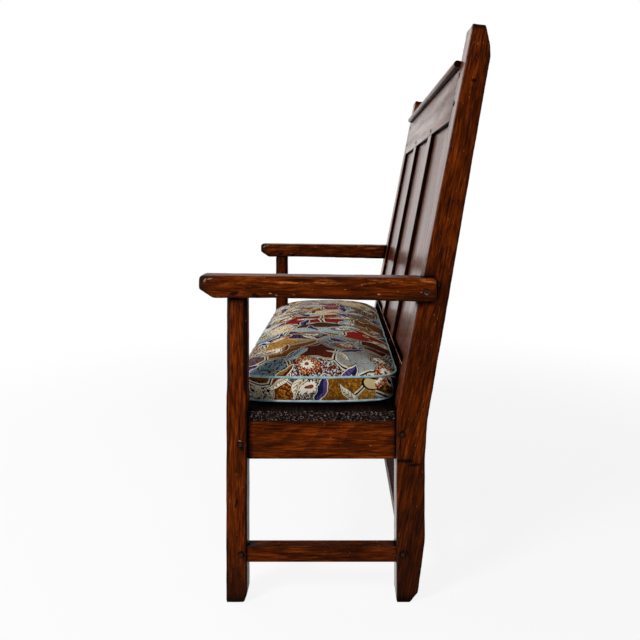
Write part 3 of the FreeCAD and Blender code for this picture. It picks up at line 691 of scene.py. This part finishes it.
def leaned(points):
    """Tip the rear of the cushion back with the posts that it rests against."""
    share = np.clip((points[:, 1] - MIDDLE) / HALF_DEPTH, 0, 1) ** 2
    points[:, 1] += share * LEAN_BACK * np.clip(points[:, 2] - LOWER_SEAM, 0, None)
    return points


def cushion_ring(plan, inset, height):
    shrink = np.array([1 - inset / CUSHION_HALF, 1 - inset / HALF_DEPTH])
    flat = (plan - (0, MIDDLE)) * shrink + (0, MIDDLE)
    return leaned(np.column_stack([flat, np.full(len(flat), height)]))


def cushion_rough(crown):
    """The cushion before it is filled. crown raises its top where it isn't blown up."""
    plan = cushion_plan(ROUGH_POINTS)[0]
    rings = [
        (0.020, seat_low.z), (0.004, seat_low.z + 0.001), (0.0, LOWER_SEAM),
        (-0.002, (LOWER_SEAM + UPPER_SEAM) / 2), (0.0, UPPER_SEAM),
        (0.008, UPPER_SEAM + 0.006 + crown * 0.25), (0.030, UPPER_SEAM + 0.011 + crown * 0.6),
        (0.070, UPPER_SEAM + 0.015 + crown * 0.9), (0.120, UPPER_SEAM + 0.017 + crown),
    ]
    points = np.concatenate([cushion_ring(plan, inset, height) for inset, height in rings])
    around = len(plan)
    faces = [tuple(range(around))[::-1]]
    for ring in range(len(rings) - 1):
        base = ring * around
        for index in range(around):
            after = (index + 1) % around
            faces.append((base + index, base + after, base + around + after, base + around + index))
    faces.append(tuple(range(len(points) - around, len(points))))
    return mesh_piece("cushion", points, faces)


def baked(item):
    """Give a piece the mesh that its modifiers make, and drop the modifiers."""
    evaluated = item.evaluated_get(bpy.context.evaluated_depsgraph_get())
    mesh = bpy.data.meshes.new_from_object(evaluated)
    item.modifiers.clear()
    item.data = mesh


def coordinates_of(mesh):
    flat = np.empty(len(mesh.vertices) * 3)
    mesh.vertices.foreach_get("co", flat)
    return flat.reshape(-1, 3)


def filled(item):
    """Blow the cushion up from inside, with its base and its seams held, and limit how far it swells."""
    before = coordinates_of(item.data)
    held = item.vertex_groups.new(name="held")
    base = np.flatnonzero(before[:, 2] < LOWER_SEAM + 0.002)
    seam = np.flatnonzero(np.abs(before[:, 2] - UPPER_SEAM) < 0.0045)
    held.add(base.tolist(), 1.0, "REPLACE")
    held.add(seam.tolist(), 0.95, "REPLACE")
    cloth = item.modifiers.new("filling", "CLOTH")
    cloth.point_cache.frame_start = 1
    cloth.point_cache.frame_end = FILLING_FRAMES
    settings = cloth.settings
    settings.quality = 5
    settings.bending_stiffness = 0.6
    settings.use_pressure = True
    settings.uniform_pressure_force = FILLING_PRESSURE
    settings.shrink_min = -0.012
    settings.vertex_group_mass = "held"
    settings.effector_weights.gravity = 0
    for frame_number in range(1, FILLING_FRAMES + 1):
        scene.frame_set(frame_number)
    baked(item)
    scene.frame_set(1)
    after = coordinates_of(item.data)
    moved = after - before
    far = np.linalg.norm(moved, axis=1, keepdims=True)
    far = np.maximum(far, 1e-9)
    after = before + moved * (PUFF * np.tanh(far / PUFF) / far)
    item.data.vertices.foreach_set("co", after.ravel())
    item.data.update()


def settled(item):
    """Keep the cushion clear of the back it leans on, and pucker it along its seams."""
    points = coordinates_of(item.data)
    wall = CUSHION_BACK + 0.001 + LEAN_BACK * np.clip(points[:, 2] - LOWER_SEAM, 0, None)
    points[:, 1] = np.minimum(points[:, 1], wall)
    normals = np.empty(len(points) * 3)
    item.data.vertices.foreach_get("normal", normals)
    normals = normals.reshape(-1, 3)
    rim = np.maximum(np.abs(points[:, 0]) / CUSHION_HALF, np.abs(points[:, 1] - MIDDLE) / HALF_DEPTH)
    near = np.flatnonzero((rim > 0.7) & (points[:, 2] > LOWER_SEAM + 0.004))
    for index in near:
        point = points[index]
        height = point[2] - UPPER_SEAM
        fade = math.exp(-abs(height) / PUCKER_REACH)
        folds = noise.noise(Vector((point[0] * 34, point[1] * 34, point[2] * 12)))
        points[index] = point + normals[index] * PUCKER * fade * folds
    item.data.vertices.foreach_set("co", points.ravel())
    item.data.update()


def cut_cloth(item):
    """Lay flat coordinates in metres on each panel: the top, the boxing round the side, the bottom."""
    mesh = item.data
    plan, step = cushion_plan(CLOTH_POINTS)
    points = coordinates_of(mesh)
    tree = BVHTree.FromPolygons(
        [(x, y, -1) for x, y in plan] + [(x, y, 1) for x, y in plan],
        [(i, (i + 1) % len(plan), (i + 1) % len(plan) + len(plan), i + len(plan)) for i in range(len(plan))])
    around = np.array([tree.find_nearest(Vector((x, y, 0)))[2] for x, y in points[:, :2]]) * step
    whole = step * len(plan)
    layer = mesh.uv_layers.new(name="cloth")
    flat = np.empty((len(mesh.loops), 2))
    for face in mesh.polygons:
        corners = points[list(face.vertices)]
        level = corners[:, 2].mean()
        loops = slice(face.loop_start, face.loop_start + face.loop_total)
        if LOWER_SEAM - 0.001 < level < UPPER_SEAM:
            turns = around[list(face.vertices)]
            turns = np.where(turns - turns[0] > whole / 2, turns - whole, turns)
            turns = np.where(turns - turns[0] < -whole / 2, turns + whole, turns)
            flat[loops, 0] = turns
            flat[loops, 1] = corners[:, 2] + 1
        else:
            flat[loops] = corners[:, :2] + (0, 0 if level > UPPER_SEAM else 3)
    layer.data.foreach_set("uv", flat.ravel())


def strewn(shade, vector, scale, share=1.0):
    """Places strewn on the cloth: coordinates about the nearest, turned at random, and its chances.

    Only a share of the places is used. The others are moved out of reach.
    """
    near = shade.node("ShaderNodeTexVoronoi", {"Vector": vector, "Scale": scale}, voronoi_dimensions="2D")
    near.inputs["Randomness"].default_value = 0.85
    local = shade.vector("SUBTRACT", vector, near.outputs["Position"])
    chance = shade.node("ShaderNodeSeparateColor", {"Color": near.outputs["Color"]})
    unused = shade.maths("GREATER_THAN", chance.outputs[1], share)
    local = shade.vector("ADD", local, shade.node("ShaderNodeCombineXYZ", {"X": unused}).outputs[0])
    angle = shade.maths("MULTIPLY", chance.outputs[0], 2 * math.pi)
    turned = shade.node("ShaderNodeVectorRotate", {"Vector": local, "Angle": angle}, rotation_type="Z_AXIS")
    return turned.outputs[0], chance.outputs


INK = "0f0e16"
INK_LINE = 0.0012


def drawn(shade, base, inside, colour):
    """Lay a shape with a dark border over the base. inside is above 0 within the shape, in metres."""
    bordered = shade.mix(shade.maths("GREATER_THAN", inside, -INK_LINE), base, INK)
    return shade.mix(shade.maths("GREATER_THAN", inside, 0), bordered, colour)


def leaf(shade, local, length, width):
    """How far inside a pointed leaf: 0 on its edge, most on its midrib."""
    parts = shade.node("ShaderNodeSeparateXYZ", {"Vector": local}).outputs
    along = shade.maths("DIVIDE", parts["X"], length)
    belly = shade.maths("MULTIPLY_ADD", shade.maths("MULTIPLY", along, along), -width, width)
    return shade.maths("SUBTRACT", belly, shade.maths("ABSOLUTE", parts["Y"])), parts


def polar(shade, local):
    parts = shade.node("ShaderNodeSeparateXYZ", {"Vector": local}).outputs
    away = shade.vector("LENGTH", local, output=1)
    return away, shade.maths("ARCTAN2", parts["Y"], parts["X"])


def petals(shade, away, angle, count, radius, depth):
    """How far inside a flower with so many petals."""
    wave = shade.maths("ABSOLUTE", shade.maths("COSINE", shade.maths("MULTIPLY", angle, count / 2)))
    edge = shade.maths("MULTIPLY_ADD", wave, radius * depth, radius * (1 - depth))
    return shade.maths("SUBTRACT", edge, away)


SPECKS = [
    (0.0, "a8741e"), (0.20, "240f0a"), (0.38, "85301a"), (0.52, "12122c"), (0.66, "c39a58"), (0.80, "3f6478"),
    (0.90, "b9c9c8"),
]
PRINT_LAID = (0.4, 0.2, 0)
WEAVE = 4800
TWILL = 2600
VEINS = 820
HATCHING = 700
GROUND = [
    (0.0, "6e4314"), (0.14, "d5cab0"), (0.20, "5c200d"), (0.29, "86a0ab"), (0.35, "96621a"), (0.46, "1f1a3e"),
    (0.54, "ddd3b8"), (0.60, "96191f"), (0.68, "3a2513"), (0.78, "2d4d66"), (0.85, "472049"),
    (0.90, "7a4a1a"),
]
SECOND = [
    (0.0, "f0e8d4"), (0.14, "110d20"), (0.30, "c4862a"), (0.42, "33100f"), (0.53, "c3d3d6"), (0.64, "0d1427"),
    (0.77, "b2481c"), (0.88, "e8dfc6"),
]


def flowing(shade, cloth, scale, reach):
    """The cloth's coordinates, bent so that what is laid on them looks drawn by hand."""
    sway = shade.vector("SUBTRACT", shade.noise(cloth, scale, 2, 0.5, output=1), CENTRED)
    return shade.vector("ADD", cloth, shade.vector("MULTIPLY", sway, (reach, reach * 0.7, 0)))


def print_ground(shade, cloth, flow):
    """Flowing patches, each speckled, hatched or banded in two colours, with a pale rim and an inked line."""
    patch = shade.node("ShaderNodeTexVoronoi", {"Vector": flow, "Scale": 9}, voronoi_dimensions="2D")
    chance = shade.node("ShaderNodeSeparateColor", {"Color": patch.outputs["Color"]}).outputs
    border = shade.node("ShaderNodeTexVoronoi", {"Vector": flow, "Scale": 9}, voronoi_dimensions="2D",
                        feature="DISTANCE_TO_EDGE").outputs["Distance"]
    first = shade.ramp(chance[0], GROUND, "CONSTANT")
    second = shade.ramp(chance[2], SECOND, "CONSTANT")
    speckle = shade.maths("GREATER_THAN", shade.noise(cloth, 190, 1, 0.5, 0.8), 0.55)
    angle = shade.maths("MULTIPLY", chance[2], 2 * math.pi)
    tilted = shade.node("ShaderNodeVectorRotate", {"Vector": flow, "Angle": angle}, rotation_type="Z_AXIS")
    lane = shade.node("ShaderNodeSeparateXYZ", {"Vector": tilted.outputs[0]}).outputs["X"]
    hatch = shade.maths("GREATER_THAN", shade.maths("SINE", shade.maths("MULTIPLY", lane, HATCHING)), 0.35)
    rise = shade.noise(flow, 9, 1, 0.4)
    bands = shade.maths("GREATER_THAN", shade.maths("FRACT", shade.maths("MULTIPLY", rise, 18)), 0.66)
    lined = shade.mix(shade.maths("GREATER_THAN", chance[1], 0.78), hatch, bands)
    specks = shade.mix(speckle, first, shade.ramp(chance[2], SPECKS, "CONSTANT"))
    ground = shade.mix(shade.maths("GREATER_THAN", chance[1], 0.58), specks, shade.mix(lined, first, second))
    ground = shade.mix(shade.maths("LESS_THAN", border, 0.045), ground, "d9cfb6")
    return shade.mix(shade.maths("LESS_THAN", border, 0.016), ground, INK)


def branches(shade, colour, flow):
    """Cream branches that wander over the patches."""
    wander = shade.noise(flow, 7, 1, 0.5)
    turns = shade.maths("FRACT", shade.maths("MULTIPLY", wander, 4))
    lane = shade.maths("ABSOLUTE", shade.maths("SUBTRACT", turns, 0.5))
    inside = shade.maths("MULTIPLY_ADD", lane, -0.04, 0.0008)
    return drawn(shade, colour, inside, "d8c08a")


def rosettes(shade, colour, cloth, bent):
    """Small pale rosettes on speckled discs."""
    local, chance = strewn(shade, shade.mapped(bent, shift=(0.31, 0.17, 0)), 11, 0.42)
    away, angle = polar(shade, local)
    dye = shade.ramp(chance[2], [(0, "8e1a22"), (0.45, "1f2450"), (0.75, "6e4c12")], "CONSTANT")
    dots = shade.maths("GREATER_THAN", shade.noise(cloth, 300, 0), 0.56)
    dye = shade.mix(dots, dye, "d2b878")
    colour = drawn(shade, colour, petals(shade, away, angle, 14, 0.030, 0.10), dye)
    colour = drawn(shade, colour, petals(shade, away, angle, 11, 0.017, 0.35), "ebe4d3")
    return drawn(shade, colour, shade.maths("SUBTRACT", 0.0045, away), "8d3a18")


LEAF_SPRAYS = (
    ((0.11, 0.43, 0), 8, 0.046, 0.0150, "cfdcdc", "86a9b4"),
    ((0.67, 0.29, 0), 9, 0.040, 0.0110, "a9761f", "5b1c14"),
    ((0.93, 0.71, 0), 9, 0.042, 0.0130, "1d2148", "5d4a86"),
    ((0.47, 0.91, 0), 11, 0.036, 0.0080, "eee6d2", "c9b587"),
)


def leaves(shade, colour, bent):
    """Pointed leaves in two dyes, with a pale rim and inked ribs."""
    for shift, scale, length, width, upper, lower in LEAF_SPRAYS:
        local = strewn(shade, shade.mapped(bent, shift=shift), scale, 0.5)[0]
        inside, parts = leaf(shade, local, length, width)
        dye = shade.mix(shade.maths("GREATER_THAN", parts["Y"], 0), upper, lower)
        slant = shade.maths("SUBTRACT", parts["X"], shade.maths("ABSOLUTE", parts["Y"]))
        veins = shade.maths("GREATER_THAN", shade.maths("SINE", shade.maths("MULTIPLY", slant, VEINS)), 0.6)
        dye = shade.mix(shade.maths("MULTIPLY", veins, 0.8), dye, INK)
        dye = shade.mix(shade.maths("LESS_THAN", inside, 0.0022), dye, "e6dcc4")
        colour = drawn(shade, colour, inside, dye)
    return colour


def cushion_print():
    """A dense print of leaves and rosettes on patterned patches, in old dyes."""
    shade = Shade("cushion_print")
    cloth = shade.node("ShaderNodeUVMap", uv_map="cloth").outputs[0]
    laid = shade.mapped(cloth, shift=PRINT_LAID)
    flow = flowing(shade, laid, 6, 0.16)
    bent = flowing(shade, laid, 16, 0.05)
    colour = print_ground(shade, cloth, flow)
    colour = branches(shade, colour, flow)
    colour = rosettes(shade, colour, cloth, bent)
    colour = leaves(shade, colour, bent)
    fading = shade.ranged(shade.noise(cloth, 14, 4, 0.6), 0.3, 0.7, 0.85, 1.1)
    colour = shade.vector("MULTIPLY", colour, fading)
    parts = shade.node("ShaderNodeSeparateXYZ", {"Vector": cloth}).outputs
    warp = shade.maths("SINE", shade.maths("MULTIPLY", parts["X"], WEAVE))
    weft = shade.maths("SINE", shade.maths("MULTIPLY", parts["Y"], WEAVE))
    normal = shade.bump(shade.maths("MULTIPLY", warp, weft), 0.25, 0.0005)
    normal = shade.bump(shade.noise(cloth, 60, 3, 0.5), 0.3, 0.0015, normal)
    return shade.surface(Base_Color=colour, Roughness=0.8, Normal=normal,
                         Specular_IOR_Level=0.02)


def piping_cloth():
    shade = Shade("piping_teal")
    parts = shade.node("ShaderNodeSeparateXYZ", {"Vector": shade.coordinates()}).outputs
    lay = shade.maths("ADD", shade.maths("ADD", parts["X"], parts["Y"]), parts["Z"])
    twill = shade.maths("SINE", shade.maths("MULTIPLY", lay, TWILL))
    worn_patches = shade.noise(shade.coordinates(), 45, 3, 0.6)
    colour = shade.ramp(worn_patches, [(0.35, "86aab3"), (0.55, "aac6cb"), (0.7, "c9dcdd")])
    normal = shade.bump(twill, 0.35, 0.0006)
    return shade.surface(Base_Color=colour, Roughness=0.7, Normal=normal, Specular_IOR_Level=0.25)


def piping(name, surface_tree, height, cloth):
    """A corded edge sewn along a seam, lying on the cushion's surface."""
    plan = cushion_plan(PIPING_POINTS)[0]
    ring = cushion_ring(plan, 0, height)
    count, sides = len(ring), 10
    outward = np.roll(ring, -1, axis=0) - np.roll(ring, 1, axis=0)
    outward = np.column_stack([outward[:, 1], -outward[:, 0]])
    outward /= np.linalg.norm(outward, axis=1, keepdims=True)
    centres = []
    for point, away in zip(ring, outward):
        start = Vector((point[0] + away[0] * 0.02, point[1] + away[1] * 0.02, height))
        hit = surface_tree.ray_cast(start, Vector((-away[0], -away[1], 0)), 0.05)[0] or Vector(point)
        centres.append((hit.x + away[0] * PIPING * 0.35, hit.y + away[1] * PIPING * 0.35, height))
    centres = np.array(centres)
    blur = np.array([1, 2, 3, 2, 1]) / 9
    centres = sum(share * np.roll(centres, shift, axis=0) for share, shift in zip(blur, range(-2, 3)))
    points, faces = [], []
    for index, (centre, away) in enumerate(zip(centres, outward)):
        centre = centre + (0, 0, 0.0007 * noise.noise(Vector((index * 0.06, height * 50, 0))))
        for side in range(sides):
            angle = 2 * math.pi * side / sides
            out = math.cos(angle) * PIPING
            rise = math.sin(angle) * PIPING
            points.append((centre[0] + away[0] * out, centre[1] + away[1] * out, centre[2] + rise))
    for index in range(count):
        after = (index + 1) % count
        for side in range(sides):
            beside = (side + 1) % sides
            here, there = index * sides, after * sides
            faces.append((here + side, there + side, there + beside, here + beside))
    item = mesh_piece(name, points, faces)
    item.data.materials.append(cloth)
    return place(item, "cushion")


def cushion():
    item = cushion_rough(crown=CROWN_TO_FILL)
    scene.collection.objects.link(item)
    remesh = item.modifiers.new("even", "REMESH")
    remesh.mode = "VOXEL"
    remesh.voxel_size = CUSHION_VOXEL
    baked(item)
    filled(item)
    finer = item.modifiers.new("finer", "SUBSURF")
    finer.levels = 1
    baked(item)
    settled(item)
    cut_cloth(item)
    item.data.polygons.foreach_set("use_smooth", [True] * len(item.data.polygons))
    item.data.materials.clear()
    item.data.materials.append(cushion_print())
    place(item, "cushion")
    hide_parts("seat_cushion")
    points = [tuple(point) for point in coordinates_of(item.data)]
    surface_tree = BVHTree.FromPolygons(points, [tuple(face.vertices) for face in item.data.polygons])
    cloth = piping_cloth()
    piping("piping_upper", surface_tree, UPPER_SEAM, cloth)
    piping("piping_lower", surface_tree, LOWER_SEAM, cloth)


cushion()
